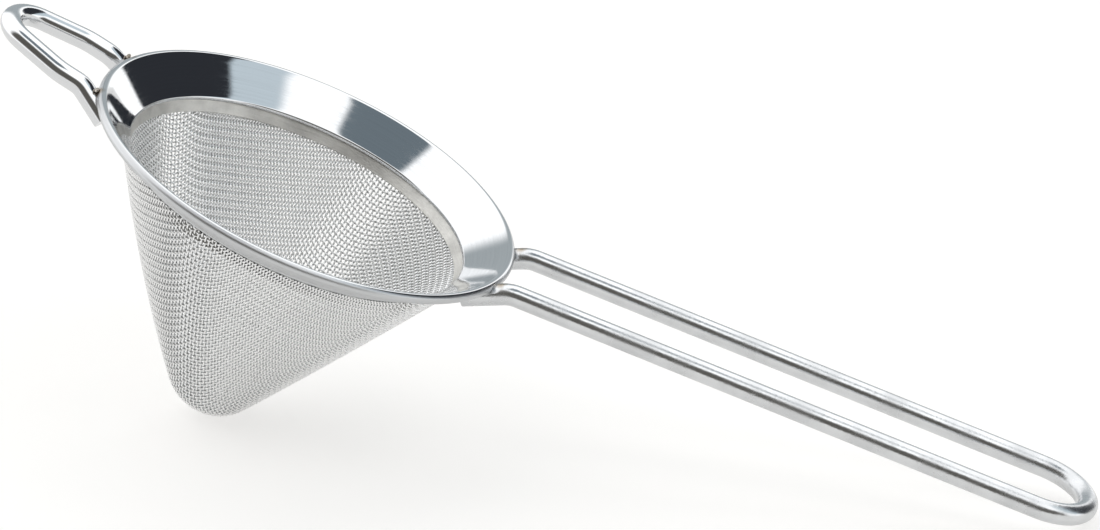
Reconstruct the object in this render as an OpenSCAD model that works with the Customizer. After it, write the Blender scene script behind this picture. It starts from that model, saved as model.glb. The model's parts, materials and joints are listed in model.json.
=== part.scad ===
// Conical wire-cloth tea strainer with a long bent-rod handle and a rest hook.
// Origin: centre of the rim's rounded edge. +X runs along the handle, +Z is up
// out of the mouth, and the cone hangs down along -Z.

/* [Rim collar] */
// Outside diameter of the rim's rounded edge
rim_d = 82; // [70:0.5:100]
// Diameter of the rounded edge itself
bead_d = 1.9; // [1.2:0.1:3]
// Diameter of the inner lip, where the polished flare ends
lip_d = 65.6; // [55:0.2:80]
// How far the inner lip lies under the middle of the rounded edge
lip_drop = 4.9; // [3:0.1:8]
// Sheet thickness at the lip
sheet_t = 0.7; // [0.4:0.1:1.2]
// Radius on the underside where the cloth comes out
neck_r = 34.6; // [30:0.1:40]
// How far that line on the underside lies under the rounded edge
neck_drop = 4.3; // [3:0.1:8]

/* [Clamp band] */
// Inner diameter of the band at its lower edge
band_d = 64.2; // [55:0.2:80]
// How far the band's lower edge lies under the rounded edge
band_drop = 7.4; // [6:0.1:10]
// Band thickness
band_t = 0.35; // [0.2:0.05:0.8]

/* [Wire cloth] */
// Outside diameter of the cloth just under the collar
cloth_d = 67.0; // [55:0.2:80]
// Depth of the cone's tip under the rounded edge
cone_depth = 52.6; // [40:0.2:70]
// Outside radius of the rounded tip
tip_r = 10; // [5:0.1:16]
// How much the cone's side bulges outwards at the middle
side_bulge = 1.1; // [0:0.1:3]
// Cloth thickness over two crossing wires
cloth_t = 0.6; // [0.3:0.05:1]

/* [Handle] */
// Rod diameter of the handle
handle_rod_d = 4.0; // [3:0.1:6]
// Distance between the centre lines of the two legs
handle_gap = 18.4; // [14:0.1:30]
// Where the legs bend down to the rim, from the middle of the rim
handle_bend_x = 43.0; // [42:0.1:50]
// Height of the rod's centre line at that bend
handle_bend_z = 0.55; // [-2:0.05:4]
// Far end of the rod's centre line, from the middle of the rim
handle_end_x = 153.3; // [100:0.5:220]
// How steeply the handle rises away from the rim, in degrees
handle_rise = 4.9; // [0:0.1:15]

/* [Rest hook] */
// Rod diameter of the hook
hook_rod_d = 4.0; // [3:0.1:6]
// Distance between the hook's legs where they are parallel
hook_gap = 18.2; // [14:0.1:30]
// Far end of the hook's centre line, from the middle of the rim
hook_end_x = 60.9; // [50:0.1:80]
// Radius of the hook's end, on the centre line
hook_end_r = 6.5; // [5:0.1:12]
// Angle at which the legs close in towards the end, in degrees
hook_taper = 19; // [0:1:35]
// How steeply the hook rises away from the rim, in degrees
hook_rise = 6.5; // [0:0.1:20]

/* [Hidden] */
round_fn = 96;
rod_fn = 48;
polished = [0.78, 0.79, 0.80];
satin = [0.66, 0.65, 0.62];
weave = [0.70, 0.71, 0.70];
tinted = [0.50, 0.42, 0.32];

rim_r = rim_d / 2;
bead_r = bead_d / 2;
bead_at = rim_r - bead_r;
lip_r = lip_d / 2;
flare_a = atan2(lip_drop + bead_r * 0.5, bead_at - lip_r - bead_r * 0.5);
// Height of the flare's flat underside below the rim's middle, at the rounded edge
under_z = bead_r * 0.9;
under_a = atan2(neck_drop - under_z, bead_at - neck_r);
band_r = band_d / 2;

// Rolled inner lip: its rounding, the height of its upright wall, and the level where that wall starts
lip_roll = 0.35;
lip_wall = 0.45;
lip_z = -lip_drop - 0.1;
// Rounding of the collar's corner at the neck
neck_round = 0.45;
// Top edge of the clamp band, just under the lip, and how much its edges slope
band_top = [lip_r + 0.4, -lip_drop - 0.6];
band_slope = 0.2;
// How far the cloth's edge stands out and down from the neck
cloth_out = 0.95;
cloth_down = 0.65;
// How far the space kept clear of rods reaches inside the neck, and up
clear_in = 3;
clear_up = 6;

// Outline of the cloth's outer side from the collar down to the tip's round part
side_n = 8;
tip_steps = 5;
cloth_top = [cloth_d / 2 + cloth_out, -neck_drop - cloth_down];
tip_a = 36;
tip_c = cone_depth - tip_r;
side_end = [tip_r * cos(tip_a), -tip_c - tip_r * sin(tip_a)];
function side_pt(t) =
    let (along = side_end - cloth_top)
    let (out = [-along[1], along[0]] / norm(along))
    cloth_top + along * t + out * side_bulge * 4 * t * (1 - t);
function tip_pt(a) = [tip_r * cos(a), -tip_c - tip_r * sin(a)];
outer_side = concat([for (i = [0:side_n - 1]) side_pt(i / side_n)],
                    [for (i = [0:tip_steps - 1]) tip_pt(tip_a + (90 - tip_a) * i / tip_steps)]);
last_side = len(outer_side) - 1;
function side_normal(i) =
    let (a = outer_side[max(i - 1, 0)], b = outer_side[min(i + 1, last_side)])
    let (d = (b - a) / norm(b - a))
    [d[1], -d[0]];
inner_side = [for (i = [0:last_side]) outer_side[i] + side_normal(i) * cloth_t];

// A ball this much fuller than the rod joins its lengths, which stop short of the ball's middle
ball_extra = 0.16;
ball_inset = 0.2;

// A straight length of round rod from p to q, with a ball at q unless it is plain
module rod_length(p, q, d, plain = false) {
    run = q - p;
    translate(p)
        rotate([0, acos(run[2] / norm(run)), atan2(run[1], run[0])]) {
            translate([0, 0, ball_inset])
                cylinder(d = d, h = norm(run) - 2 * ball_inset, $fn = rod_fn);
            if (!plain)
                translate([0, 0, norm(run)])
                    sphere(d = d + ball_extra, $fn = rod_fn);
        }
}

// A bend of rod about the z axis, centre-line radius r, turning a degrees evenly about +X
module rod_bend(r, a, d) {
    inset_a = ball_inset / r * 180 / PI;
    rotate([0, 0, inset_a - a / 2])
        rotate_extrude(angle = a - 2 * inset_a, $fn = round_fn)
            translate([r, 0])
                circle(d = d, $fn = rod_fn);
}

// The space the collar fills, and everything over it: rods and welds stop there
module over_the_flare() {
    rotate_extrude($fn = round_fn)
        polygon([[neck_r - clear_in, -neck_drop - clear_in * tan(under_a)],
                 [bead_at, -under_z],
                 [bead_at, clear_up],
                 [neck_r - clear_in, clear_up]]);
    rotate_extrude($fn = round_fn)
        translate([bead_at, 0])
            circle(d = bead_d, $fn = rod_fn);
}

// Corners of one handle leg's centre line, from its end under the flare to the end bend
function handle_z(x) = handle_bend_z + (x - handle_bend_x) * tan(handle_rise);
handle_end_r = handle_gap / 2;
handle_turn_x = handle_end_x - handle_end_r * cos(handle_rise);
handle_leg = [[35.2, -4.0], [handle_bend_x, handle_bend_z], [handle_turn_x, handle_z(handle_turn_x)]];

// Corners of one hook leg's centre line, on a plane that rises away from the rim
hook_bend_x = 43.2;
hook_bend_z = -0.5;
hook_weld_end = [36.6, 10.9, -4.0];
hook_turn_x = hook_end_x - hook_end_r;
function hook_z(x) = hook_bend_z + (x - hook_bend_x) * tan(hook_rise);
hook_taper_x = hook_turn_x + hook_end_r * sin(hook_taper)
    - (hook_gap / 2 - hook_end_r * cos(hook_taper)) / tan(hook_taper);
hook_turns = 5;
turn_step = (180 - 2 * hook_taper) / hook_turns;
function hook_turn_pt(a) =
    let (x = hook_turn_x + hook_end_r * cos(a))
    [x, hook_end_r * sin(a), hook_z(x)];
hook_leg = concat([hook_weld_end,
                   [hook_bend_x, hook_gap / 2, hook_bend_z],
                   [hook_taper_x, hook_gap / 2, hook_z(hook_taper_x)]],
                  [for (i = [0:floor(hook_turns / 2)]) hook_turn_pt(90 - hook_taper - i * turn_step)]);
hook_last = len(hook_leg) - 1;
function hook_pt(i, side) = [-hook_leg[i][0], side * hook_leg[i][1], hook_leg[i][2]];

// Ring pressed from sheet: polished flare, rounded outer edge, rolled inner lip
module rim_collar() {
    color(polished) {
        rotate_extrude($fn = round_fn)
            polygon([[bead_at - bead_r * sin(flare_a), bead_r * cos(flare_a)],
                     [lip_r + lip_roll, lip_z + lip_roll],
                     [lip_r, lip_z],
                     [lip_r, lip_z - lip_wall],
                     [lip_r + lip_roll, lip_z - lip_wall],
                     [lip_r + lip_roll + sheet_t / 2, lip_z - lip_wall / 3],
                     [neck_r - neck_round, -neck_drop - neck_round],
                     [neck_r, -neck_drop],
                     [bead_at, -under_z],
                     [bead_at, 0]]);
        rotate_extrude($fn = round_fn)
            translate([bead_at, 0])
                circle(d = bead_d, $fn = rod_fn);
    }
}

// Satin strip inside the cloth, which holds the cloth's edge under the lip
module clamp_band() {
    color(satin)
        rotate_extrude($fn = round_fn)
            polygon([band_top,
                     [band_r, -band_drop],
                     [band_r + band_t, -band_drop - band_t * band_slope],
                     band_top + [band_t, -band_t * band_slope]]);
}

// Plain-weave wire cloth, drawn from one round blank into a rounded cone
module cloth_cone() {
    color(weave)
        rotate_extrude($fn = round_fn)
            polygon(concat(outer_side, [[0, -cone_depth], [0, -cone_depth + cloth_t]],
                           [for (i = [last_side:-1:0]) inner_side[i]]));
}

// One rod bent to a long U, its leg ends scarfed to lie under the flare
module handle_rod() {
    color(polished)
        difference() {
            union() {
                for (side = [-1, 1], i = [0, 1])
                    rod_length([handle_leg[i][0], side * handle_gap / 2, handle_leg[i][1]],
                               [handle_leg[i + 1][0], side * handle_gap / 2, handle_leg[i + 1][1]],
                               handle_rod_d);
                translate([handle_turn_x, 0, handle_z(handle_turn_x)])
                    rotate([0, -handle_rise, 0])
                        rod_bend(handle_end_r, 180, handle_rod_d);
            }
            over_the_flare();
        }
}

// One rod bent to a short closed loop, opposite the handle
module rest_hook() {
    color(polished)
        difference() {
            union() {
                for (side = [-1, 1], i = [0:hook_last - 1])
                    rod_length(hook_pt(i, side), hook_pt(i + 1, side), hook_rod_d);
                rod_length(hook_pt(hook_last, -1), hook_pt(hook_last, 1), hook_rod_d, true);
            }
            over_the_flare();
        }
}

weld_r = 1.1;

// Bead of weld metal across a leg, against the outside of the rounded edge
module weld(at, turn, width) {
    color(tinted)
        difference() {
            translate(at)
                rotate([0, 0, turn])
                    rotate([90, 0, 0])
                        cylinder(r = weld_r, h = width, center = true, $fn = rod_fn);
            over_the_flare();
            if (at[0] > 0)
                handle_rod();
            else
                rest_hook();
        }
}

weld_w = 3.0;
handle_weld = [40.9, handle_gap / 2, 1.35];
hook_weld = [-39.7, 10.1, 0.55];

module weld_handle_near() {
    weld([handle_weld[0], -handle_weld[1], handle_weld[2]], 0, weld_w);
}

module weld_handle_far() {
    weld(handle_weld, 0, weld_w);
}

module weld_hook_near() {
    weld([hook_weld[0], -hook_weld[1], hook_weld[2]], 0, weld_w);
}

module weld_hook_far() {
    weld(hook_weld, 0, weld_w);
}

rim_collar();
clamp_band();
cloth_cone();
handle_rod();
rest_hook();
weld_handle_near();
weld_handle_far();
weld_hook_near();
weld_hook_far();
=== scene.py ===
import json
import math

import bpy
import numpy as np
from bpy.props import FloatProperty, FloatVectorProperty, IntProperty, PointerProperty
from mathutils import Matrix, Vector


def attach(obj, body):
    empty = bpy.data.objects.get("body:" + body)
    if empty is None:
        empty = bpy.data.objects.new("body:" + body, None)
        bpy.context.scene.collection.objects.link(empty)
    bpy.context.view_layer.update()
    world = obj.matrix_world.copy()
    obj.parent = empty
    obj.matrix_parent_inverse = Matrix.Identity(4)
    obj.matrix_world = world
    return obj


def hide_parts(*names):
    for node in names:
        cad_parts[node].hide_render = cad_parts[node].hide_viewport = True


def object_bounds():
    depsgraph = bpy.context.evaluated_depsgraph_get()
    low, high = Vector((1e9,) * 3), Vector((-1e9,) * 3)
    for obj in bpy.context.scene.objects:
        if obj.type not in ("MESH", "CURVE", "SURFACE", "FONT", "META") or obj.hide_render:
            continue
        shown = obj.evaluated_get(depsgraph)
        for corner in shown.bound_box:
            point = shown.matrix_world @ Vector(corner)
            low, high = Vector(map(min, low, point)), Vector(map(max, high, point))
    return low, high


bl_info = {
    "name": "Tea strainer",
    "version": (1, 0, 0),
    "blender": (4, 5, 0),
    "location": "View3D > Sidebar > Strainer",
    "description": "Conical wire-cloth tea strainer with a bent-rod handle and a rest hook",
    "category": "Object",
}

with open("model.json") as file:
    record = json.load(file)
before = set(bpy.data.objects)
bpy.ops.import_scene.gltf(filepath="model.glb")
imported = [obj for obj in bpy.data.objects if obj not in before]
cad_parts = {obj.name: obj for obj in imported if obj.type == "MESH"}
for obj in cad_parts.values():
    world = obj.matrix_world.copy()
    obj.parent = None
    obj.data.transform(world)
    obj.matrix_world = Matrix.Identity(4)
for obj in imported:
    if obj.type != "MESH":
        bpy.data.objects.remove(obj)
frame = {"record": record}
CAD_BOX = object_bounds()
MM = 0.001
UNDER_SHARE = 0.9  # where the flare's underside meets the rounded edge, in its radii under the middle


def slot_colour(slot):
    """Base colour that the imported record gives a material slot."""
    for entry in frame["record"]["materials"]:
        if entry["slot"] == slot:
            return tuple(entry["base_color"])
    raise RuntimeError(f"the record has no material slot {slot!r}")


def length(name, description, default):
    return FloatProperty(name=name, description=description, default=default * MM,
                         unit="LENGTH", subtype="DISTANCE", precision=5)


def angle(name, description, default):
    return FloatProperty(name=name, description=description, default=math.radians(default),
                         unit="ROTATION", subtype="ANGLE")


def tint(name, description, default):
    return FloatVectorProperty(name=name, description=description, default=default,
                               size=3, min=0, max=1, subtype="COLOR")


class CollarSizes(bpy.types.PropertyGroup):
    """Sizes of the rim collar and the clamp band"""
    rim_d: length("Rim diameter", "Across the rim's rounded edge", 82.0)
    bead_d: length("Rounded edge", "Thickness of the rim's rounded edge", 1.9)
    lip_d: length("Lip diameter", "Across the rolled inner lip", 65.6)
    lip_drop: length("Lip drop", "Lip under the middle of the rounded edge", 4.9)
    neck_r: length("Neck radius", "Where the cloth comes out underneath", 34.6)
    neck_drop: length("Neck drop", "Neck under the middle of the rounded edge", 4.3)
    band_d: length("Band diameter", "Across the band's lower edge, inside", 64.2)
    band_drop: length("Band drop", "Band's lower edge under the rounded edge", 7.4)
    band_t: length("Band thickness", "Sheet thickness of the band", 0.35)


class ClothSizes(bpy.types.PropertyGroup):
    """Sizes of the wire cloth"""
    top_r: length("Top radius", "Outside radius of the cloth's edge", 34.55)
    top_drop: length("Top drop", "Cloth's edge under the rim's middle", 4.95)
    depth: length("Depth", "Tip under the middle of the rounded edge", 52.6)
    tip_r: length("Tip radius", "Outside radius of the rounded tip", 10.0)
    bulge: length("Side bulge", "How much the side bulges at the middle", 0.55)
    lean: length("Lean", "How far the middle of the cone leans away from the handle", 0.55)
    thickness: length("Cloth thickness", "Over two crossing wires", 0.76)
    wire_d: length("Wire", "Thickness of the wire", 0.36)
    warp_pitch: length("Warp pitch", "From one weft wire to the next, along a warp wire", 0.85)
    weft_pitch: length("Weft pitch", "From one warp wire to the next, along a weft wire", 1.0)
    tip_angle: angle("Tip angle", "Where the side meets the tip's round part", 36.0)
    warp_angle: angle("Warp angle", "Which way the middle warp wire runs up the side", 147.0)
    weft_angle: angle("Weft angle", "Which way the middle weft wire runs up the side", 252.0)


class RodSizes(bpy.types.PropertyGroup):
    """Sizes of the handle and the rest hook"""
    rod_d: length("Rod diameter", "Diameter of both rods", 4.0)
    handle_gap: length("Handle gap", "Between the centre lines of the handle's legs", 18.4)
    handle_end: length("Handle end", "Far end of the handle's centre line", 153.3)
    handle_rise: angle("Handle rise", "How steeply the handle rises", 4.9)
    hook_gap: length("Hook gap", "Between the centre lines of the hook's legs", 18.2)
    hook_end: length("Hook end", "Far end of the hook's centre line", 60.9)
    hook_end_r: length("Hook end radius", "Radius of the hook's end", 6.5)
    hook_taper: angle("Hook taper", "How the hook's legs close in", 19.0)
    hook_rise: angle("Hook rise", "How steeply the hook rises", 6.5)
    sides: IntProperty(name="Rod sides", description="Faces round a rod", default=40, min=12)


class Finishes(bpy.types.PropertyGroup):
    """Colours of the metals and of the stage"""
    polished: tint("Polished steel", "Rim collar", slot_colour("polished_steel"))
    satin: tint("Satin steel", "Clamp band", slot_colour("satin_steel"))
    wire: tint("Wire", "Woven wire", slot_colour("wire_cloth"))
    rod: tint("Rod", "Handle and hook", slot_colour("rod_steel"))
    weld: tint("Weld", "Weld beads", slot_colour("weld_metal"))
    heat: tint("Heat tint", "Brown colour round the welds", (0.40, 0.34, 0.27))
    floor: tint("Floor", "Pale floor", (0.93, 0.92, 0.90))


# ---------------------------------------------------------------- modelling

def deselect():
    bpy.ops.object.select_all(action="DESELECT")


def finish_mesh(name, smooth=35.0):
    """Ends edit mode, puts the piece's place in its mesh and shades it."""
    bpy.ops.mesh.select_all(action="SELECT")
    bpy.ops.mesh.remove_doubles(threshold=1e-7)
    bpy.ops.mesh.normals_make_consistent(inside=False)
    bpy.ops.object.mode_set(mode="OBJECT")
    bpy.ops.object.transform_apply(location=True, rotation=True, scale=True)
    bpy.ops.object.shade_smooth_by_angle(angle=math.radians(smooth))
    piece = bpy.context.object
    piece.name = name
    piece.data.name = name
    return piece


def lathe(name, outline, steps, smooth=35.0):
    """A closed ring turned about Z from an outline of (radius, height) points.
    A circle is extruded and resized from point to point, and its two ends are bridged."""
    r, z = outline[0]
    deselect()
    bpy.ops.mesh.primitive_circle_add(vertices=steps, radius=r, location=(0, 0, z), fill_type="NOTHING")
    bpy.ops.object.mode_set(mode="EDIT")
    bpy.ops.mesh.select_all(action="SELECT")
    for r1, z1 in outline[1:]:
        bpy.ops.mesh.extrude_region_move(TRANSFORM_OT_translate={"value": (0, 0, z1 - z)})
        bpy.ops.transform.resize(value=(r1 / r, r1 / r, 1), center_override=(0, 0, z1))
        r, z = r1, z1
    bpy.ops.mesh.select_all(action="DESELECT")
    bpy.ops.mesh.select_non_manifold()
    bpy.ops.mesh.bridge_edge_loops()
    return finish_mesh(name, smooth)


def arc(centre, radius, start, end, steps):
    """Points of an arc in the outline's plane, angles in degrees, both ends included."""
    out = []
    for k in range(steps + 1):
        a = math.radians(start + (end - start) * k / steps)
        out.append((centre[0] + radius * math.cos(a), centre[1] + radius * math.sin(a)))
    return out


def bend_rod(name, corners, radii, rod_r, sides):
    """A round rod along a path of corners, each bent to its radius.
    A circle is extruded along each straight length and spun round each bend."""
    pts = [Vector(c) for c in corners]
    first = (pts[1] - pts[0]).normalized()
    deselect()
    bpy.ops.mesh.primitive_circle_add(vertices=sides, radius=rod_r, location=pts[0], fill_type="NOTHING",
                                      rotation=first.to_track_quat("Z", "Y").to_euler())
    bpy.ops.object.transform_apply(location=True, rotation=True, scale=True)
    bpy.ops.object.mode_set(mode="EDIT")
    bpy.ops.mesh.select_all(action="SELECT")
    here = pts[0]
    for k, radius in enumerate(radii, start=1):
        inward = (pts[k] - pts[k - 1]).normalized()
        onward = (pts[k + 1] - pts[k]).normalized()
        turn = inward.angle(onward)
        start = pts[k] - inward * radius * math.tan(turn / 2)
        if (start - here).length > 1e-6:
            extrude_rod(start - here)
        side = (onward - inward * inward.dot(onward)).normalized()
        bpy.ops.mesh.spin(steps=max(4, round(math.degrees(turn) / 5)), angle=-turn,
                          center=start + side * radius, axis=inward.cross(onward).normalized())
        here = pts[k] + onward * radius * math.tan(turn / 2)
    extrude_rod(pts[-1] - here)
    bpy.ops.mesh.select_all(action="DESELECT")
    bpy.ops.mesh.select_non_manifold()
    bpy.ops.mesh.edge_face_add()
    return finish_mesh(name)


def extrude_rod(run):
    """Extrudes the selected circle in lengths of about 4 mm, so the rod stays evenly divided."""
    steps = max(1, round(run.length / (4 * MM)))
    for _ in range(steps):
        bpy.ops.mesh.extrude_region_move(TRANSFORM_OT_translate={"value": run / steps})


def bead_section(s):
    """Radius of the rounded edge, and how far its middle is from the axis."""
    bead_r = s.bead_d / 2
    return bead_r, s.rim_d / 2 - bead_r


def flare_angle(s):
    """How steeply the flare rises, in degrees."""
    half = s.bead_d / 4
    bead_at = bead_section(s)[1]
    return math.degrees(math.atan2(s.lip_drop + half, bead_at - s.lip_d / 2 - half))


def even_points(start, end, steps):
    """Points at even spaces on a straight line, both ends included."""
    return [(start[0] + (end[0] - start[0]) * k / steps, start[1] + (end[1] - start[1]) * k / steps)
            for k in range(steps + 1)]


def collar_outline(s):
    """Flare, rolled lip, neck, underside and rounded edge, round the section once."""
    bead_r, bead_at = bead_section(s)
    lip_r = s.lip_d / 2
    sheet = 0.1 * MM
    lip_z = -s.lip_drop - sheet
    roll = 0.35 * MM
    rise = flare_angle(s)
    top = (bead_at - bead_r * math.sin(math.radians(rise)), bead_r * math.cos(math.radians(rise)))
    crown = 0.65 * MM
    rolled = arc((lip_r + crown, lip_z), crown, 90 + rise, 180, 8)
    flare = even_points(top, rolled[0], 8)
    under_lip = arc((lip_r + roll, lip_z - sheet), roll, 180, 290, 6)
    neck_round = 0.32 * MM
    neck = [(s.neck_r - 0.45 * MM, -s.neck_drop - 0.45 * MM)]
    neck += arc((s.neck_r - 0.3 * MM, -s.neck_drop - sheet), neck_round, -60, 20, 4)
    near = (s.neck_r + 0.25 * MM, -s.neck_drop + 0.12 * MM)
    far = (bead_at - 0.3 * bead_r, -bead_r * UNDER_SHARE - 0.05 * MM)
    under = even_points(near, far, 6)
    bead = arc((bead_at, 0), bead_r, -84, 90 + rise, 30)[:-1]
    return flare[:-1] + rolled + under_lip + neck + under + bead


def band_outline(s):
    """Thin strip with rounded edges, its lower edge turned out a little."""
    top = (s.lip_d / 2 + 0.45 * MM, -s.lip_drop - 0.45 * MM)
    low = (s.band_d / 2, -s.band_drop)
    t = s.band_t
    inner = even_points(top, low, 6)
    edge = arc((low[0] + t / 2, low[1]), t / 2, 180, 350, 6)
    outer = [(r + t, z) for r, z in reversed(inner)]
    return inner[:-1] + edge + outer[1:]


def clear_of_collar(piece, s):
    """Cuts away what would stand inside or above the collar, with a Boolean modifier."""
    bead_r, bead_at = bead_section(s)
    slope = (s.neck_drop - bead_r * UNDER_SHARE) / (bead_at - s.neck_r)
    deep, high = 3 * MM, 6 * MM
    outline = [(s.neck_r - deep, -s.neck_drop - deep * slope)]
    outline += arc((bead_at, 0), bead_r * 0.98, -70, 90, 16)
    outline += [(bead_at, high), (s.neck_r - deep, high)]
    cutter = lathe("cutter", outline, 192)
    deselect()
    piece.select_set(True)
    bpy.context.view_layer.objects.active = piece
    cut = piece.modifiers.new("under the flare", "BOOLEAN")
    cut.operation = "DIFFERENCE"
    cut.solver = "EXACT"
    cut.object = cutter
    bpy.ops.object.modifier_apply(modifier=cut.name)
    bpy.data.objects.remove(cutter, do_unlink=True)


# ---------------------------------------------------------------- wire cloth

class ClothShape:
    """The cloth's middle surface: radius squared as a smooth function of height."""

    def __init__(self, s):
        top = np.array([s.top_r, -s.top_drop])
        tip_z = -(s.depth - s.tip_r)
        end = np.array([s.tip_r * math.cos(s.tip_angle), tip_z - s.tip_r * math.sin(s.tip_angle)])
        along = end - top
        out = np.array([-along[1], along[0]]) / np.hypot(*along)
        t = np.linspace(0, 1, 240)[:, None]
        side = top + along * t + out * (s.bulge * 4 * t * (1 - t) - s.thickness / 2)
        a = np.linspace(s.tip_angle, math.pi / 2, 160)[1:, None]
        r = s.tip_r - s.thickness / 2
        tip = np.hstack([r * np.cos(a), tip_z - r * np.sin(a)])
        line = np.vstack([side, tip])[::-1]
        line[0, 0] = 0
        ahead = (line[-1] - line[-2]) / np.hypot(*(line[-1] - line[-2]))
        line = np.vstack([line, line[-1] + ahead * 6 * MM])
        self.z = line[:, 1]
        self.r2 = line[:, 0] ** 2
        self.slope = np.gradient(self.r2, self.z)
        self.run = np.concatenate([[0], np.cumsum(np.hypot(*np.diff(line, axis=0).T))])
        self.line = line

    def at_run(self, run):
        """Radius and height at a distance along the side from the tip."""
        return np.interp(run, self.run, self.line[:, 0]), np.interp(run, self.run, self.line[:, 1])

    def off(self, p):
        return p[:, 0] ** 2 + p[:, 1] ** 2 - np.interp(p[:, 2], self.z, self.r2)

    def gradient(self, p):
        return np.stack([2 * p[:, 0], 2 * p[:, 1], -np.interp(p[:, 2], self.z, self.slope)], axis=1)

    def normal(self, p):
        g = self.gradient(p)
        return g / np.linalg.norm(g, axis=1, keepdims=True)


def next_crossings(a, b, d, pitches, shape):
    """Points on the cloth one pitch from both a and b, on the far side from d."""
    p = a + b - d
    for _ in range(10):
        f = np.stack([((p - a) ** 2).sum(1) - pitches[0] ** 2,
                      ((p - b) ** 2).sum(1) - pitches[1] ** 2, shape.off(p)], axis=1)
        j = np.stack([2 * (p - a), 2 * (p - b), shape.gradient(p)], axis=1)
        p = p - np.linalg.solve(j, f[:, :, None])[:, :, 0]
    return p


def weave_net(s, shape):
    """Crossings of a flat cloth drawn over the cone, every thread keeping its pitch."""
    pitches = (s.warp_pitch, s.weft_pitch)
    n = int(shape.run[-1] / min(pitches))
    net = np.full((2 * n + 1, 2 * n + 1, 3), np.nan)
    for quarter in range(4):
        r, z = shape.at_run(np.arange(n + 1) * pitches[quarter % 2])
        a = (s.warp_angle, s.weft_angle)[quarter % 2] + (quarter // 2) * math.pi
        line = np.stack([r * math.cos(a), r * math.sin(a), z], axis=1)
        for k in range(n + 1):
            i, j = [(k, 0), (0, k), (-k, 0), (0, -k)][quarter]
            net[n + i, n + j] = line[k]
    limit = -s.top_drop + max(pitches)
    for si, sj in ((1, 1), (-1, 1), (-1, -1), (1, -1)):
        for total in range(2, 2 * n):
            i = np.arange(max(1, total - n), min(n, total - 1) + 1)
            j = total - i
            a = net[n + si * (i - 1), n + sj * j]
            b = net[n + si * i, n + sj * (j - 1)]
            d = net[n + si * (i - 1), n + sj * (j - 1)]
            ok = np.isfinite(a[:, 0]) & np.isfinite(b[:, 0]) & (d[:, 2] < limit)
            ok &= (a[:, 2] < limit) & (b[:, 2] < limit)
            if ok.any():
                net[n + si * i[ok], n + sj * j[ok]] = next_crossings(a[ok], b[ok], d[ok], pitches, shape)
    return net, n


def thread_paths(s, shape, net, n, weft):
    """Centre lines of one family of threads: points and crimp, cut at the cloth's edge."""
    top = -s.top_drop + 0.15 * MM
    paths = []
    for row in range(2 * n + 1):
        line = net[row] if weft else net[:, row]
        known = np.isfinite(line[:, 0])
        inside = known & (np.where(known, line[:, 2], 1.0) <= top)
        if inside.sum() < 2:
            continue
        ids = np.flatnonzero(inside)
        for part in np.split(ids, np.flatnonzero(np.diff(ids) > 1) + 1):
            pts = [line[k] for k in part]
            lift = [1.0 if (row + k + weft) % 2 else -1.0 for k in part]
            for end, step in ((0, -1), (-1, 1)):
                k = part[end] + step
                if 0 <= k < 2 * n + 1 and known[k] and line[k, 2] > top:
                    share = (top - line[part[end], 2]) / (line[k, 2] - line[part[end], 2])
                    point = line[part[end]] * (1 - share) + line[k] * share
                    bend = lift[end] * (1 - 2 * share)
                    if share > 0.1:
                        pts = [point] + pts if step < 0 else pts + [point]
                        lift = [bend] + lift if step < 0 else lift + [bend]
            if len(pts) > 1:
                paths.append((row - n, np.array(pts), np.array(lift)))
    return paths


def wire_mesh(name, paths, wire_r, crimp, shape, sides=6):
    """One mesh of round wires along the given paths, with closed ends.
    The attribute "knuckle" is 1 where a wire stands out furthest from the cloth's middle, and 0 in it; the
    wire's painted shade and light follow it."""
    verts, faces, heights = [], [], []
    base = 0
    around = np.arange(sides) * 2 * math.pi / sides
    for _, pts, lift in paths:
        fine = np.empty((3 * len(pts) - 2, 3))
        wave = np.empty(len(fine))
        fine[::3] = pts
        wave[::3] = lift
        for third in (1, 2):
            share = third / 3
            eased = (1 - math.cos(math.pi * share)) / 2
            fine[third::3] = pts[:-1] * (1 - share) + pts[1:] * share
            wave[third::3] = lift[:-1] * (1 - eased) + lift[1:] * eased
        normal = shape.normal(fine)
        centre = fine + normal * (wave * crimp)[:, None]
        tangent = np.gradient(centre, axis=0)
        tangent /= np.linalg.norm(tangent, axis=1, keepdims=True)
        up = normal - tangent * (normal * tangent).sum(1, keepdims=True)
        up /= np.linalg.norm(up, axis=1, keepdims=True)
        across = np.cross(tangent, up)
        ring = centre[:, None] + wire_r * (np.cos(around)[None, :, None] * up[:, None]
                                           + np.sin(around)[None, :, None] * across[:, None])
        verts.append(ring.reshape(-1, 3))
        rise = ((ring - fine[:, None]) * normal[:, None]).sum(2) / (crimp + wire_r)
        heights.append(np.abs(rise).reshape(-1))
        count = len(fine)
        k = np.arange(sides)
        k1 = (k + 1) % sides
        row = base + np.arange(count - 1)[:, None] * sides
        quads = np.stack([row + k, row + k1, row + sides + k1, row + sides + k], axis=2).reshape(-1, 4)
        faces.extend(quads.tolist())
        faces.append((base + k[::-1]).tolist())
        faces.append((base + (count - 1) * sides + k).tolist())
        base += count * sides
    mesh = bpy.data.meshes.new(name)
    mesh.from_pydata(np.vstack(verts).tolist(), [], faces)
    mesh.polygons.foreach_set("use_smooth", [True] * len(faces))
    knuckle = mesh.attributes.new("knuckle", "FLOAT", "POINT")
    knuckle.data.foreach_set("value", np.concatenate(heights).astype(np.float32))
    mesh.update()
    piece = bpy.data.objects.new(name, mesh)
    bpy.context.collection.objects.link(piece)
    return piece


# ---------------------------------------------------------------- materials

def group_of(name, inputs, outputs):
    """An empty shader node group with named sockets: {name: (type, default)} in, {name: type} out."""
    group = bpy.data.node_groups.new(name, "ShaderNodeTree")
    for label, (kind, default) in inputs.items():
        socket = group.interface.new_socket(name=label, in_out="INPUT", socket_type=kind)
        if default is not None:
            socket.default_value = default
    for label, kind in outputs.items():
        group.interface.new_socket(name=label, in_out="OUTPUT", socket_type=kind)
    return group, group.nodes.new("NodeGroupInput"), group.nodes.new("NodeGroupOutput")


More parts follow.
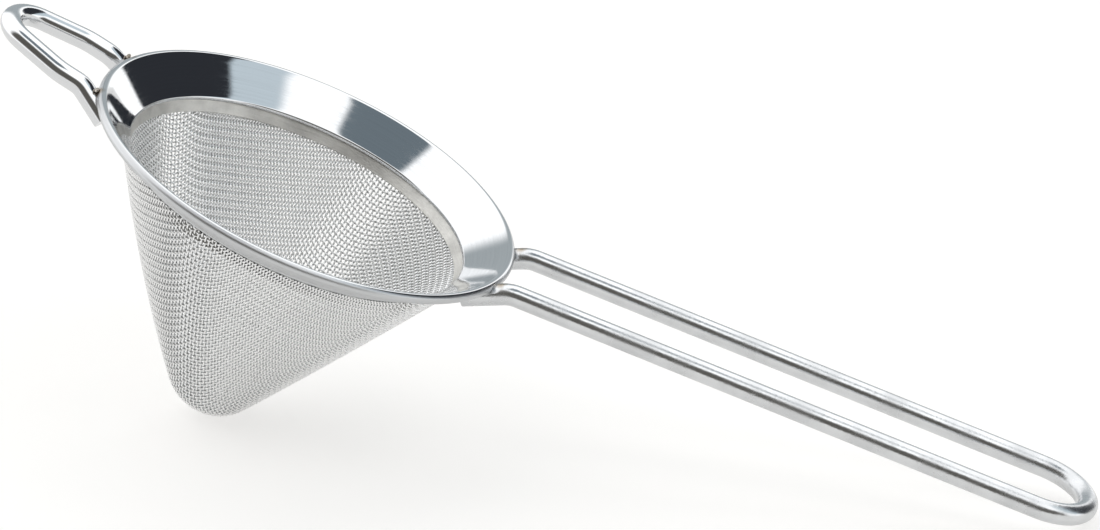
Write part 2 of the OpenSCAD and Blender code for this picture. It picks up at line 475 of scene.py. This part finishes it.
def math_node(tree, operation, a, b=None):
    node = tree.nodes.new("ShaderNodeMath")
    node.operation = operation
    for socket, value in zip(node.inputs, (a, b)):
        if value is None:
            continue
        if isinstance(value, (int, float)):
            socket.default_value = value
        else:
            tree.links.new(value, socket)
    return node.outputs[0]


def ramp_node(tree, value, low, high, to_low=0.0, to_high=1.0):
    node = tree.nodes.new("ShaderNodeMapRange")
    node.interpolation_type = "SMOOTHSTEP"
    tree.links.new(value, node.inputs["Value"])
    for label, number in (("From Min", low), ("From Max", high), ("To Min", to_low), ("To Max", to_high)):
        if isinstance(number, (int, float)):
            node.inputs[label].default_value = number
        else:
            tree.links.new(number, node.inputs[label])
    return node.outputs["Result"]


def noise_node(tree, vector, scale, detail=4.0, rough=0.55):
    node = tree.nodes.new("ShaderNodeTexNoise")
    tree.links.new(vector, node.inputs["Vector"])
    node.inputs["Scale"].default_value = scale
    node.inputs["Detail"].default_value = detail
    node.inputs["Roughness"].default_value = rough
    return node.outputs["Fac"]


def mix_colour(tree, mask, a, b):
    node = tree.nodes.new("ShaderNodeMix")
    node.data_type = "RGBA"
    tree.links.new(mask, node.inputs["Factor"])
    for label, value in (("A", a), ("B", b)):
        socket = [i for i in node.inputs if i.name == label and i.type == "RGBA"][0]
        if isinstance(value, tuple):
            socket.default_value = (*value, 1.0)
        else:
            tree.links.new(value, socket)
    return [o for o in node.outputs if o.type == "RGBA"][0]


def ring_place(group, enter):
    """A point's X, Y and Z, and its distance from the Z axis."""
    split = group.nodes.new("ShaderNodeSeparateXYZ")
    group.links.new(enter.outputs["Vector"], split.inputs[0])
    x, y, z = split.outputs
    radius = math_node(group, "SQRT", math_node(group, "ADD", math_node(group, "MULTIPLY", x, x),
                                                math_node(group, "MULTIPLY", y, y)))
    return x, y, z, radius


def brush_group():
    """Fine brush lines that run round the Z axis. Height is for a Bump node, Streaks a mask."""
    if "Brush lines" in bpy.data.node_groups:
        return bpy.data.node_groups["Brush lines"]
    group, enter, leave = group_of("Brush lines", {
        "Vector": ("NodeSocketVector", None), "Lines per metre": ("NodeSocketFloat", 6000.0),
        "Length": ("NodeSocketFloat", 1.5)}, {"Height": "NodeSocketFloat", "Streaks": "NodeSocketFloat"})
    x, y, z, radius = ring_place(group, enter)
    slant = math_node(group, "ADD", radius, math_node(group, "MULTIPLY", z, 0.8))
    round_x = math_node(group, "MULTIPLY", math_node(group, "DIVIDE", x, radius), enter.outputs["Length"])
    round_y = math_node(group, "MULTIPLY", math_node(group, "DIVIDE", y, radius), enter.outputs["Length"])
    place = group.nodes.new("ShaderNodeCombineXYZ")
    group.links.new(round_x, place.inputs[0])
    group.links.new(round_y, place.inputs[1])
    group.links.new(math_node(group, "MULTIPLY", slant, enter.outputs["Lines per metre"]), place.inputs[2])
    fine = noise_node(group, place.outputs[0], 1.0, 3.0, 0.6)
    broad = noise_node(group, place.outputs[0], 0.23, 2.0, 0.5)
    group.links.new(fine, leave.inputs["Height"])
    both = math_node(group, "ADD", fine, broad)
    group.links.new(ramp_node(group, both, 0.75, 1.25), leave.inputs["Streaks"])
    return group


def mottle_group():
    """Soft mottling and fine pits in drawn or polished steel."""
    if "Mottle" in bpy.data.node_groups:
        return bpy.data.node_groups["Mottle"]
    group, enter, leave = group_of("Mottle", {
        "Vector": ("NodeSocketVector", None), "Pits per metre": ("NodeSocketFloat", 2500.0)},
        {"Height": "NodeSocketFloat", "Cloud": "NodeSocketFloat"})
    stretch = group.nodes.new("ShaderNodeVectorMath")
    stretch.operation = "SCALE"
    group.links.new(enter.outputs["Vector"], stretch.inputs[0])
    group.links.new(enter.outputs["Pits per metre"], stretch.inputs["Scale"])
    pits = noise_node(group, stretch.outputs[0], 1.0, 4.0, 0.6)
    cloud = noise_node(group, stretch.outputs[0], 0.09, 3.0, 0.5)
    group.links.new(pits, leave.inputs["Height"])
    group.links.new(ramp_node(group, cloud, 0.35, 0.7), leave.inputs["Cloud"])
    return group


def underside_group():
    """Where a point lies under the flare's polished face: 0 on it, 1 on the rounded edge and underneath."""
    if "Under the flare" in bpy.data.node_groups:
        return bpy.data.node_groups["Under the flare"]
    group, enter, leave = group_of("Under the flare", {
        "Vector": ("NodeSocketVector", None), "Edge radius": ("NodeSocketFloat", 0.0395),
        "Edge height": ("NodeSocketFloat", 0.0007), "Slope": ("NodeSocketFloat", 0.8)},
        {"Mask": "NodeSocketFloat"})
    _, _, z, radius = ring_place(group, enter)
    inwards = math_node(group, "SUBTRACT", radius, enter.outputs["Edge radius"])
    face = math_node(group, "ADD", enter.outputs["Edge height"],
                     math_node(group, "MULTIPLY", inwards, enter.outputs["Slope"]))
    under = math_node(group, "SUBTRACT", face, z)
    group.links.new(ramp_node(group, under, 0.00035, 0.0009), leave.inputs["Mask"])
    return group


def heat_group():
    """Heat tint round the four welds, strongest at each weld and broken up by noise."""
    if "Heat tint" in bpy.data.node_groups:
        return bpy.data.node_groups["Heat tint"]
    group, enter, leave = group_of("Heat tint", {
        "Vector": ("NodeSocketVector", None), "Reach": ("NodeSocketFloat", 0.004)},
        {"Mask": "NodeSocketFloat"})
    nearest = None
    for spot in weld_places():
        far = group.nodes.new("ShaderNodeVectorMath")
        far.operation = "DISTANCE"
        group.links.new(enter.outputs["Vector"], far.inputs[0])
        far.inputs[1].default_value = spot
        distance = far.outputs["Value"]
        nearest = distance if nearest is None else math_node(group, "MINIMUM", nearest, distance)
    patchy = noise_node(group, enter.outputs["Vector"], 900.0, 3.0, 0.6)
    wobble = math_node(group, "MULTIPLY", nearest, math_node(group, "ADD", patchy, 0.5))
    share = math_node(group, "DIVIDE", wobble, enter.outputs["Reach"])
    group.links.new(ramp_node(group, share, 0.3, 1.0, 1.0, 0.0), leave.inputs["Mask"])
    return group


def new_metal(name, roughness, colour):
    """A steel with its Principled shader, its nodes, object coordinates and a Bump node."""
    material = bpy.data.materials.new(name)
    material.use_nodes = True
    tree = material.node_tree
    shader = tree.nodes["Principled BSDF"]
    shader.inputs["Metallic"].default_value = 1.0
    shader.inputs["Roughness"].default_value = roughness
    shader.inputs["Base Color"].default_value = (*colour, 1.0)
    place = tree.nodes.new("ShaderNodeTexCoord").outputs["Object"]
    bump = tree.nodes.new("ShaderNodeBump")
    tree.links.new(bump.outputs[0], shader.inputs["Normal"])
    return material, tree, shader, place, bump


def shade(colour, share):
    """A colour made lighter or darker by a share."""
    return tuple(min(1.0, c * share) for c in colour)


def use_group(tree, group, place, **values):
    node = tree.nodes.new("ShaderNodeGroup")
    node.node_tree = group
    tree.links.new(place, node.inputs["Vector"])
    for label, value in values.items():
        node.inputs[label.replace("_", " ")].default_value = value
    return node


def feed(tree, shader, **values):
    """Links values to the shader's sockets: Base_Color=..., Roughness=..."""
    for label, value in values.items():
        tree.links.new(value, shader.inputs[label.replace("_", " ")])


def set_bump(tree, bump, height, strength, distance):
    """Links a height to the Bump node, and sets how strong and how deep it is."""
    tree.links.new(height, bump.inputs["Height"])
    bump.inputs["Strength"].default_value = strength
    bump.inputs["Distance"].default_value = distance


def polished_steel(finish):
    material, tree, shader, place, bump = new_metal("polished_steel", 0.1, finish.polished)
    lines = use_group(tree, brush_group(), place, Lines_per_metre=7000.0, Length=1.2)
    heat = use_group(tree, heat_group(), place, Reach=0.0018)
    set_bump(tree, bump, lines.outputs["Height"], 0.04, 0.00004)
    colour = tuple(finish.polished)
    wear_and_painted_shade = mix_colour(tree, lines.outputs["Streaks"], colour, shade(colour, 0.95))
    below = use_group(tree, underside_group(), place)
    # Painted shade: the colour is darkened to 0.8 under the flare and on the rounded edge; the added
    # roughness there is the underside's duller finish.
    underside_painted_shade = mix_colour(tree, below.outputs["Mask"], wear_and_painted_shade, shade(colour, 0.8))
    gloss = ramp_node(tree, lines.outputs["Streaks"], 0.0, 1.0, 0.03, 0.09)
    dull = math_node(tree, "MULTIPLY", below.outputs["Mask"], 0.3)
    feed(tree, shader, Base_Color=mix_colour(tree, heat.outputs["Mask"], underside_painted_shade, tuple(finish.heat)),
         Roughness=math_node(tree, "ADD", gloss, dull))
    return material


def satin_steel(finish):
    material, tree, shader, place, bump = new_metal("satin_steel", 0.4, finish.satin)
    lines = use_group(tree, brush_group(), place, Lines_per_metre=3000.0, Length=9.0)
    mottle = use_group(tree, mottle_group(), place, Pits_per_metre=2200.0)
    height = math_node(tree, "ADD", lines.outputs["Height"], mottle.outputs["Height"])
    set_bump(tree, bump, height, 0.5, 0.00008)
    colour = tuple(finish.satin)
    feed(tree, shader, Base_Color=mix_colour(tree, mottle.outputs["Cloud"], shade(colour, 1.25), colour),
         Roughness=ramp_node(tree, mottle.outputs["Height"], 0.3, 0.7, 0.42, 0.6))
    return material


def rod_steel(finish):
    material, tree, shader, place, bump = new_metal("rod_steel", 0.12, finish.rod)
    mottle = use_group(tree, mottle_group(), place, Pits_per_metre=1500.0)
    heat = use_group(tree, heat_group(), place, Reach=0.0016)
    set_bump(tree, bump, mottle.outputs["Height"], 0.5, 0.00006)
    colour = tuple(finish.rod)
    wear_and_painted_shade = mix_colour(tree, mottle.outputs["Cloud"], colour, shade(colour, 0.88))
    feed(tree, shader, Base_Color=mix_colour(tree, heat.outputs["Mask"], wear_and_painted_shade, tuple(finish.heat)),
         Roughness=ramp_node(tree, mottle.outputs["Cloud"], 0.0, 1.0, 0.18, 0.3))
    return material


def weld_metal(finish):
    material, tree, shader, place, bump = new_metal("weld_metal", 0.35, finish.weld)
    mottle = use_group(tree, mottle_group(), place, Pits_per_metre=3500.0)
    set_bump(tree, bump, mottle.outputs["Height"], 0.6, 0.0001)
    pale = tuple(0.5 * (a + b) for a, b in zip(finish.weld, finish.rod))
    feed(tree, shader, Base_Color=mix_colour(tree, mottle.outputs["Cloud"], pale, tuple(finish.heat)),
         Roughness=ramp_node(tree, mottle.outputs["Height"], 0.3, 0.7, 0.25, 0.5))
    return material


def drawn_wire(finish):
    material, tree, shader, place, bump = new_metal("drawn_wire", 0.3, finish.wire)
    mottle = use_group(tree, mottle_group(), place, Pits_per_metre=1800.0)
    set_bump(tree, bump, mottle.outputs["Height"], 0.15, 0.00002)
    colour = tuple(finish.wire)
    painted_lit_mottle = mix_colour(tree, mottle.outputs["Cloud"], shade(colour, 1.6), shade(colour, 1.45))
    knuckle = tree.nodes.new("ShaderNodeAttribute")
    knuckle.attribute_name = "knuckle"
    # Painted shade and light: the wire is darkened to 0.7 in the cloth's middle, where the crossing wires
    # shade it, and lit 1.45 to 1.6 times at the knuckles; the cloud between the two bright tones is random
    # tone.
    wear_and_painted_shade = ramp_node(tree, knuckle.outputs["Fac"], 0.0, 0.6)
    feed(tree, shader, Base_Color=mix_colour(tree, wear_and_painted_shade, shade(colour, 0.7), painted_lit_mottle),
         Roughness=ramp_node(tree, mottle.outputs["Height"], 0.3, 0.7, 0.2, 0.32))
    return material


def place_piece(piece, material, slot, *nodes):
    """Gives a piece its finish, and says which body and nodes it stands for; the slot is not used."""
    piece.data.materials.clear()
    piece.data.materials.append(material)
    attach(piece, "root")
    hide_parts(*nodes)


# ---------------------------------------------------------------- pieces

def handle_corners(s):
    bend = (43.0 * MM, 0.55 * MM)
    end_z = bend[1] + (s.handle_end - bend[0]) * math.tan(s.handle_rise)
    half = s.handle_gap / 2
    leg = [(35.2 * MM, -4.0 * MM), bend, (s.handle_end, end_z)]
    near = [(x, -half, z) for x, z in leg]
    return near + [(x, half, z) for x, z in reversed(leg)]


def hook_corners(s):
    bend_x, bend_z = 43.2 * MM, -0.5 * MM
    half = s.hook_gap / 2
    turn_x = s.hook_end - s.hook_end_r
    slope = math.tan(s.hook_taper)
    taper_x = turn_x + s.hook_end_r * math.sin(s.hook_taper)
    taper_x -= (half - s.hook_end_r * math.cos(s.hook_taper)) / slope
    end_y = half - (s.hook_end - taper_x) * slope

    def on_plane(x, y):
        return (-x, y, bend_z + (x - bend_x) * math.tan(s.hook_rise))

    leg = [(-36.6 * MM, 10.9 * MM, -4.0 * MM), on_plane(bend_x, half), on_plane(taper_x, half),
           on_plane(s.hook_end, end_y)]
    near = [(x, -y, z) for x, y, z in leg]
    return near + list(reversed(leg))


def weld_places():
    """Middle of each weld: handle near and far, hook near and far."""
    return [(40.9 * MM, -9.2 * MM, 1.1 * MM), (40.9 * MM, 9.2 * MM, 1.1 * MM),
            (-40.1 * MM, -10.05 * MM, 0.45 * MM), (-40.1 * MM, 10.05 * MM, 0.45 * MM)]


class STRAINER_OT_rim_collar(bpy.types.Operator):
    """Turn the polished collar: flare, rounded edge, rolled lip and underside"""
    bl_idname = "strainer.rim_collar"
    bl_label = "Rim collar"

    def execute(self, context):
        collar = lathe("rim_collar_turned", collar_outline(context.scene.collar_sizes), 256, 50.0)
        place_piece(collar, polished_steel(context.scene.finishes), "polished_steel", "rim_collar")
        return {"FINISHED"}


class STRAINER_OT_clamp_band(bpy.types.Operator):
    """Turn the satin strip that clamps the cloth's edge under the lip"""
    bl_idname = "strainer.clamp_band"
    bl_label = "Clamp band"

    def execute(self, context):
        band = lathe("clamp_band_turned", band_outline(context.scene.collar_sizes), 192)
        place_piece(band, satin_steel(context.scene.finishes), "satin_steel", "clamp_band")
        return {"FINISHED"}


class STRAINER_OT_wire_cloth(bpy.types.Operator):
    """Weave the wire cloth over the cone, every wire in its place"""
    bl_idname = "strainer.wire_cloth"
    bl_label = "Wire cloth"

    def execute(self, context):
        s = context.scene.cloth_sizes
        shape = ClothShape(s)
        net, n = weave_net(s, shape)
        up = (net[..., 2] + s.depth) / (s.depth - s.top_drop)
        net[..., 0] -= s.lean * 4 * np.clip(up * (1 - up), 0, None)
        material = drawn_wire(context.scene.finishes)
        wire_r = s.wire_d / 2
        crimp = s.thickness / 2 - wire_r
        for weft, family in ((0, "warp"), (1, "weft")):
            paths = thread_paths(s, shape, net, n, weft)
            spent = np.cumsum([len(pts) for _, pts, _ in paths])
            share = np.minimum(spent * 4 // spent[-1], 3)
            for part, label in enumerate("abcd"):
                some = [path for path, which in zip(paths, share) if which == part]
                piece = wire_mesh(f"cloth_{family}_{label}", some, wire_r, crimp, shape)
                place_piece(piece, material, "wire_cloth", "cloth_cone")
        return {"FINISHED"}


class STRAINER_OT_handle_rod(bpy.types.Operator):
    """Bend the long handle from one rod and scarf its ends under the flare"""
    bl_idname = "strainer.handle_rod"
    bl_label = "Handle"

    def execute(self, context):
        s = context.scene.rod_sizes
        loop = s.handle_gap / 2
        radii = [6 * MM, loop, loop, 6 * MM]
        handle = bend_rod("handle_bent", handle_corners(s), radii, s.rod_d / 2, s.sides)
        clear_of_collar(handle, context.scene.collar_sizes)
        place_piece(handle, rod_steel(context.scene.finishes), "rod_steel", "handle_rod")
        return {"FINISHED"}


class STRAINER_OT_rest_hook(bpy.types.Operator):
    """Bend the short rest hook from one rod"""
    bl_idname = "strainer.rest_hook"
    bl_label = "Rest hook"

    def execute(self, context):
        s = context.scene.rod_sizes
        radii = [5 * MM, 9 * MM, s.hook_end_r, s.hook_end_r, 9 * MM, 5 * MM]
        hook = bend_rod("rest_hook_bent", hook_corners(s), radii, s.rod_d / 2, s.sides)
        clear_of_collar(hook, context.scene.collar_sizes)
        place_piece(hook, bpy.data.materials["rod_steel"], "rod_steel", "rest_hook")
        return {"FINISHED"}


class STRAINER_OT_welds(bpy.types.Operator):
    """Model one weld bead and copy it to the four places where the rods meet the rim"""
    bl_idname = "strainer.welds"
    bl_label = "Welds"

    def execute(self, context):
        names = ("weld_handle_near", "weld_handle_far", "weld_hook_near", "weld_hook_far")
        material = weld_metal(context.scene.finishes)
        deselect()
        bpy.ops.mesh.primitive_ico_sphere_add(subdivisions=4, radius=1 * MM, location=(0, 0, 0))
        bpy.ops.object.mode_set(mode="EDIT")
        bpy.ops.mesh.select_all(action="SELECT")
        bpy.ops.transform.resize(value=(0.4, 1.1, 0.3), center_override=(0, 0, 0))
        bpy.ops.transform.vertex_random(offset=0.05 * MM, seed=4)
        bpy.ops.mesh.vertices_smooth(factor=0.5, repeat=2)
        first = finish_mesh("weld_bead", 80.0)
        for name, spot in zip(names, weld_places()):
            bead = bpy.data.objects.new(name + "_bead", first.data.copy())
            context.collection.objects.link(bead)
            flip = -1 if spot[1] > 0 else 1
            back = -1 if spot[0] < 0 else 1
            bead.data.transform(Matrix.Translation(spot) @ Matrix.Diagonal((back, flip, 1, 1)))
            if flip * back < 0:
                bead.data.flip_normals()
            place_piece(bead, material, "weld_metal", name)
        bpy.data.objects.remove(first, do_unlink=True)
        return {"FINISHED"}


# ---------------------------------------------------------------- stage

def pale_floor(finish):
    """Matt pale floor, seen only from above."""
    material = bpy.data.materials.new("pale_floor")
    material.use_nodes = True
    tree = material.node_tree
    shader = tree.nodes["Principled BSDF"]
    shader.inputs["Base Color"].default_value = (*[c * 0.55 for c in finish.floor], 1.0)
    shader.inputs["Roughness"].default_value = 0.9
    shader.inputs["Specular IOR Level"].default_value = 0.1
    shader.inputs["Emission Color"].default_value = (1.0, 0.99, 0.975, 1.0)
    seen = tree.nodes.new("ShaderNodeLightPath").outputs["Is Camera Ray"]
    glow = math_node(tree, "ADD", math_node(tree, "MULTIPLY", seen, 0.18), 0.42)
    tree.links.new(glow, shader.inputs["Emission Strength"])
    clear = tree.nodes.new("ShaderNodeBsdfTransparent")
    mix = tree.nodes.new("ShaderNodeMixShader")
    back = tree.nodes.new("ShaderNodeNewGeometry").outputs["Backfacing"]
    tree.links.new(back, mix.inputs["Fac"])
    tree.links.new(shader.outputs[0], mix.inputs[1])
    tree.links.new(clear.outputs[0], mix.inputs[2])
    tree.links.new(mix.outputs[0], tree.nodes["Material Output"].inputs["Surface"])
    return material


def heading(azimuth, elevation):
    """Unit vector that points to an azimuth and elevation in degrees."""
    a, e = math.radians(azimuth), math.radians(elevation)
    return (math.cos(a) * math.cos(e), math.sin(a) * math.cos(e), math.sin(e))


WHITE = (1.35, 1.36, 1.37)
DARK_STRIP = (0.115, 0.11, 0.10)


def studio_world():
    """White surroundings with a few soft dark cards, which only reflections and light see."""
    world = bpy.data.worlds.new("studio")
    world.use_nodes = True
    tree = world.node_tree
    back = tree.nodes["Background"]
    place = tree.nodes.new("ShaderNodeTexCoord").outputs["Generated"]
    # direction, radius and soft edge in degrees, colour
    cards = [(heading(20, 52), 25.0, 2.5, (0.62, 0.71, 0.77)),
             (heading(44, 37), 27.0, 1.5, (0.03, 0.033, 0.04)),
             (heading(-156, 73), 14.0, 1.5, (0.17, 0.21, 0.24)),
             (heading(106, 8), 26.0, 5.0, (0.42, 0.46, 0.48))]
    colour = None
    for towards, reach, soft, tone in cards:
        dot = tree.nodes.new("ShaderNodeVectorMath")
        dot.operation = "DOT_PRODUCT"
        tree.links.new(place, dot.inputs[0])
        dot.inputs[1].default_value = towards
        mask = ramp_node(tree, dot.outputs["Value"], math.cos(math.radians(reach + soft)),
                         math.cos(math.radians(reach - soft)))
        colour = mix_colour(tree, mask, WHITE if colour is None else colour, tone)
    split = tree.nodes.new("ShaderNodeSeparateXYZ")
    tree.links.new(place, split.inputs[0])
    facing = ramp_node(tree, math_node(tree, "MULTIPLY", split.outputs[1], -1.0), 0.25, 0.5)
    low = ramp_node(tree, split.outputs[2], -0.25, 0.0)
    high = ramp_node(tree, split.outputs[2], 0.66, 0.82, 1.0, 0.0)
    strip = math_node(tree, "MULTIPLY", facing, math_node(tree, "MULTIPLY", low, high))
    colour = mix_colour(tree, strip, colour, DARK_STRIP)
    seen = tree.nodes.new("ShaderNodeLightPath").outputs["Is Camera Ray"]
    tree.links.new(mix_colour(tree, seen, colour, (1.0, 1.0, 1.0)), back.inputs["Color"])
    back.inputs["Strength"].default_value = 1.0
    return world


class STRAINER_OT_stage(bpy.types.Operator):
    """Add the pale floor the strainer lies on, the soft surroundings and the camera"""
    bl_idname = "strainer.stage"
    bl_label = "Stage"

    def execute(self, context):
        cloth = context.scene.cloth_sizes
        handle_rest = 8.0 * MM
        slope = math.atan2(handle_rest + cloth.depth, CAD_BOX[1][0])
        under = cloth.depth - cloth.tip_r + cloth.tip_r / math.cos(slope)
        deselect()
        bpy.ops.mesh.primitive_plane_add(size=8.0, location=(0, 0, -under), rotation=(0, -slope, 0))
        bpy.ops.object.transform_apply(location=True, rotation=True, scale=True)
        floor = context.object
        floor.name = "floor"
        floor.data.materials.append(pale_floor(context.scene.finishes))
        context.scene.world = studio_world()
        context.scene.view_settings.view_transform = "Standard"
        lens = bpy.data.cameras.new("camera")
        lens.sensor_fit = "HORIZONTAL"
        lens.sensor_width = 36.0
        lens.lens = 130.909
        lens.clip_start = 0.01
        lens.clip_end = 30.0
        camera = bpy.data.objects.new("camera", lens)
        context.collection.objects.link(camera)
        right = Vector((0.894526, 0.185613, 0.406658))
        down = Vector((0.446896, -0.350339, -0.823132))
        ahead = Vector((-0.010316, 0.918047, -0.396338))
        turn = Matrix((right, -down, -ahead)).transposed().to_4x4()
        camera.matrix_world = Matrix.Translation((0.054383, -0.667265, 0.293192)) @ turn
        context.scene.camera = camera
        return {"FINISHED"}


class STRAINER_PT_panel(bpy.types.Panel):
    """Lists the strainer's pieces, in the order that they are made"""
    bl_label = "Tea strainer"
    bl_idname = "STRAINER_PT_panel"
    bl_space_type = "VIEW_3D"
    bl_region_type = "UI"
    bl_category = "Strainer"

    def draw(self, context):
        for operator in OPERATORS:
            self.layout.operator(operator.bl_idname)
        for group in GROUPS:
            box = self.layout.box()
            sizes = getattr(context.scene, group)
            for label in sizes.bl_rna.properties.keys():
                if label not in ("rna_type", "name"):
                    box.prop(sizes, label)


GROUPS = {"collar_sizes": CollarSizes, "cloth_sizes": ClothSizes, "rod_sizes": RodSizes,
          "finishes": Finishes}
OPERATORS = (STRAINER_OT_rim_collar, STRAINER_OT_clamp_band, STRAINER_OT_wire_cloth, STRAINER_OT_handle_rod,
             STRAINER_OT_rest_hook, STRAINER_OT_welds, STRAINER_OT_stage)


def register():
    for name, group in GROUPS.items():
        bpy.utils.register_class(group)
        setattr(bpy.types.Scene, name, PointerProperty(type=group))
    for operator in OPERATORS:
        bpy.utils.register_class(operator)
    bpy.utils.register_class(STRAINER_PT_panel)


def unregister():
    bpy.utils.unregister_class(STRAINER_PT_panel)
    for operator in reversed(OPERATORS):
        bpy.utils.unregister_class(operator)
    for name, group in GROUPS.items():
        delattr(bpy.types.Scene, name)
        bpy.utils.unregister_class(group)


def main():
    register()
    bpy.ops.strainer.rim_collar()
    bpy.ops.strainer.clamp_band()
    bpy.ops.strainer.wire_cloth()
    bpy.ops.strainer.handle_rod()
    bpy.ops.strainer.rest_hook()
    bpy.ops.strainer.welds()
    bpy.ops.strainer.stage()


if __name__ == "__main__":
    main()
